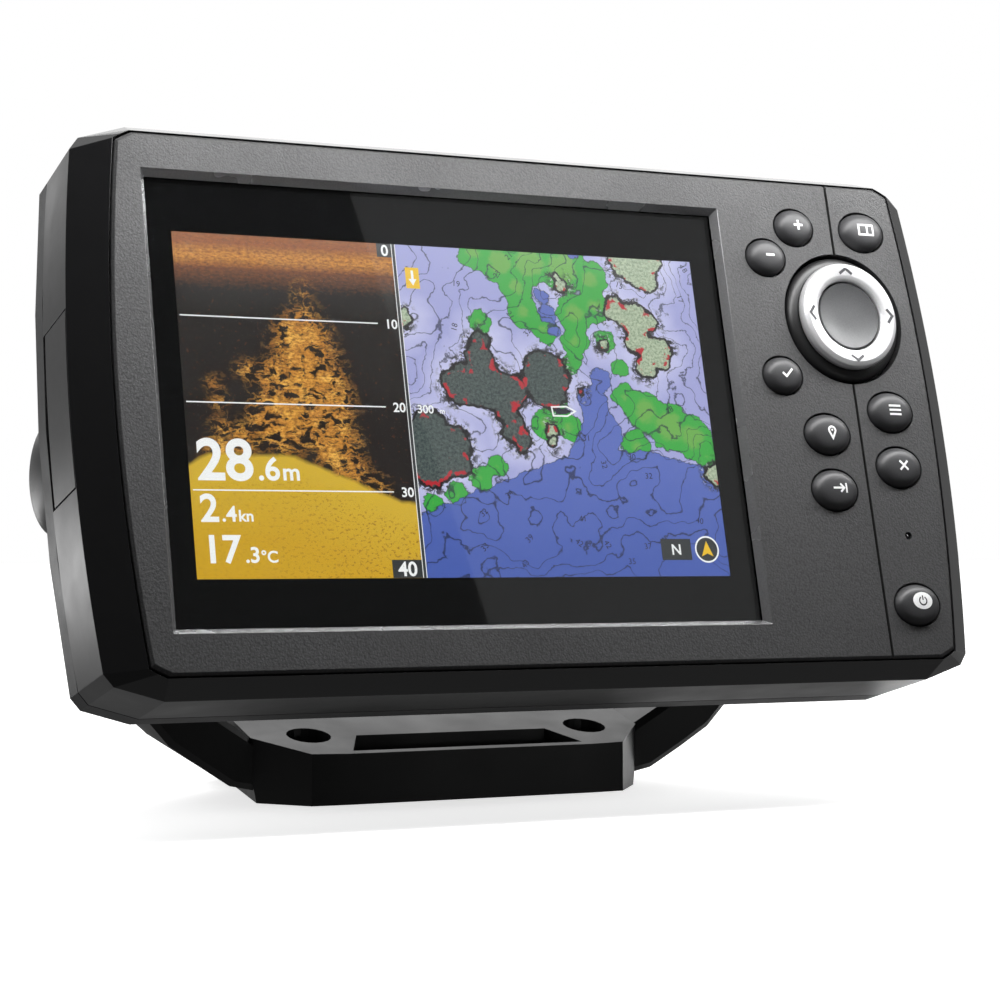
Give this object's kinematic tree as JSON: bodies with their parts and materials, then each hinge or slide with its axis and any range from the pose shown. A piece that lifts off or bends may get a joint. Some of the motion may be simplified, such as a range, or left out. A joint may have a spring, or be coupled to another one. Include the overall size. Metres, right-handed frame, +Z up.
{
  "type": "chartplotter display",
  "caption": "Rectangular marine chartplotter display with keys and a four-way pad beside its screen, tilting on a low two-arm gimbal bracket with clamp knobs.",
  "frame": {"origin": "centre of the bracket base, on the surface that it is screwed to", "axes": "+X to the right as seen by the user, +Y away from the user, +Z up; the face leans back 14 degrees"},
  "size_m": [0.186, 0.1165, 0.1283],
  "materials": {
    "black_plastic": "satin",
    "side_plastic": "satin",
    "face_plastic": "matte",
    "case_metal": "satin",
    "bracket_metal": "satin",
    "key_rubber": "satin",
    "silver": "satin",
    "rubber": "matte",
    "steel": "satin",
    "brass": "satin",
    "aluminium": "satin",
    "clear": "gloss",
    "lcd": "gloss",
    "white_plastic": "matte",
    "board": "satin",
    "ferrite": "matte",
    "ceramic": "matte"
  },
  "bodies": {
    "bracket": {"bracket": "bracket_metal"},
    "knob_slide_left": {"knob_washer_left": "steel"},
    "knob_left": {"knob_left": "black_plastic", "knob_stud_left": "steel"},
    "knob_slide_right": {"knob_washer_right": "steel"},
    "knob_right": {"knob_right": "black_plastic", "knob_stud_right": "steel"},
    "dpad_gimbal": {"dpad_gimbal": "steel"},
    "dpad": {"dpad_skirt": "key_rubber", "dpad_ring": "silver", "dpad_dish": "face_plastic"},
    "key_zoom_in": {"key_zoom_in": "key_rubber"},
    "key_zoom_out": {"key_zoom_out": "key_rubber"},
    "key_check": {"key_check": "key_rubber"},
    "key_view": {"key_view": "key_rubber"},
    "key_menu": {"key_menu": "key_rubber"},
    "key_mark": {"key_mark": "key_rubber"},
    "key_exit": {"key_exit": "key_rubber"},
    "key_goto": {"key_goto": "key_rubber"},
    "key_power": {"key_power": "key_rubber"},
    "card_door": {"card_door": "side_plastic"},
    "head": {"backlight": "white_plastic", "board_screw_1": "steel", "board_screw_2": "steel", "board_screw_3": "steel", "board_screw_4": "steel", "buzzer": "black_plastic", "card_socket": "steel", "case_gasket": "rubber", "case_screw_1": "steel", "case_screw_2": "steel", "case_screw_3": "steel", "case_screw_4": "steel", "display_chassis": "black_plastic", "dome_sheet": "white_plastic", "door_hinge_pin": "steel", "faceplate": "face_plastic", "friction_pad_left": "rubber", "friction_pad_right": "rubber", "front_housing": "black_plastic", "heat_spreader": "aluminium", "key_board": "board", "keypad_membrane": "rubber", "lcd_panel": "lcd", "lcd_tray": "aluminium", "light_sensor": "clear", "main_board": "board", "pivot_insert_left": "brass", "pivot_insert_right": "brass", "power_socket": "black_plastic", "processor_shield": "aluminium", "rear_case": "case_metal", "satellite_antenna": "ceramic", "sonar_board": "board", "sonar_transformer": "ferrite", "storage_capacitor": "aluminium", "transducer_socket": "black_plastic", "vent_plug": "rubber", "window_gasket": "rubber", "window_glass": "clear"}
  },
  "joints": [
    {"name": "head_tilt", "type": "hinge", "parent": "bracket", "child": "head", "pos_m": [0, -0.01802, 0.06513], "axis": [1, 0, 0], "range_deg": [-40, 21]},
    {"name": "knob_travel_left", "type": "slide", "parent": "head", "child": "knob_slide_left", "axis": [-1, 0, 0], "range_m": [0, 0.002]},
    {"name": "knob_turn_left", "type": "hinge", "parent": "knob_slide_left", "child": "knob_left", "pos_m": [-0.0766, -0.01802, 0.06513], "axis": [-1, 0, 0], "range_deg": [0, 722]},
    {"name": "knob_travel_right", "type": "slide", "parent": "head", "child": "knob_slide_right", "axis": [1, 0, 0], "range_m": [0, 0.002]},
    {"name": "knob_turn_right", "type": "hinge", "parent": "knob_slide_right", "child": "knob_right", "pos_m": [0.0766, -0.01802, 0.06513], "axis": [1, 0, 0], "range_deg": [0, 722]},
    {"name": "key_zoom_in_press", "type": "slide", "parent": "head", "child": "key_zoom_in", "axis": [0, 0.9701, -0.2428], "range_m": [0, 0.0008], "stiffness_N_per_m": 400, "springref_m": -0.0006},
    {"name": "key_zoom_out_press", "type": "slide", "parent": "head", "child": "key_zoom_out", "axis": [0, 0.9701, -0.2428], "range_m": [0, 0.0008], "stiffness_N_per_m": 400, "springref_m": -0.0006},
    {"name": "key_check_press", "type": "slide", "parent": "head", "child": "key_check", "axis": [0, 0.9701, -0.2428], "range_m": [0, 0.0008], "stiffness_N_per_m": 400, "springref_m": -0.0006},
    {"name": "key_view_press", "type": "slide", "parent": "head", "child": "key_view", "axis": [0, 0.9701, -0.2428], "range_m": [0, 0.0008], "stiffness_N_per_m": 400, "springref_m": -0.0006},
    {"name": "key_menu_press", "type": "slide", "parent": "head", "child": "key_menu", "axis": [0, 0.9701, -0.2428], "range_m": [0, 0.0008], "stiffness_N_per_m": 400, "springref_m": -0.0006},
    {"name": "key_mark_press", "type": "slide", "parent": "head", "child": "key_mark", "axis": [0, 0.9701, -0.2428], "range_m": [0, 0.0008], "stiffness_N_per_m": 400, "springref_m": -0.0006},
    {"name": "key_exit_press", "type": "slide", "parent": "head", "child": "key_exit", "axis": [0, 0.9701, -0.2428], "range_m": [0, 0.0008], "stiffness_N_per_m": 400, "springref_m": -0.0006},
    {"name": "key_goto_press", "type": "slide", "parent": "head", "child": "key_goto", "axis": [0, 0.9701, -0.2428], "range_m": [0, 0.0008], "stiffness_N_per_m": 400, "springref_m": -0.0006},
    {"name": "key_power_press", "type": "slide", "parent": "head", "child": "key_power", "axis": [0, 0.9701, -0.2428], "range_m": [0, 0.0008], "stiffness_N_per_m": 400, "springref_m": -0.0006},
    {"name": "dpad_rock_vertical", "type": "hinge", "parent": "head", "child": "dpad_gimbal", "pos_m": [0.068, -0.0624, 0.09706], "axis": [1, 0, 0], "range_deg": [-3, 3], "stiffness_Nm_per_rad": 0.3},
    {"name": "dpad_rock_sideways", "type": "hinge", "parent": "dpad_gimbal", "child": "dpad", "pos_m": [0.068, -0.0624, 0.09706], "axis": [0, 0.2428, 0.9701], "range_deg": [-3, 3], "stiffness_Nm_per_rad": 0.3},
    {"name": "card_door_hinge", "type": "hinge", "parent": "head", "child": "card_door", "pos_m": [-0.0913, -0.05102, 0.07416], "axis": [0, -0.2428, -0.9701], "range_deg": [0, 88]}
  ],
  "couplings": [
    {"joint": "knob_turn_left", "follows": "knob_travel_left", "rad_per_m": 6283.2},
    {"joint": "knob_turn_right", "follows": "knob_travel_right", "rad_per_m": 6283.2}
  ]
}
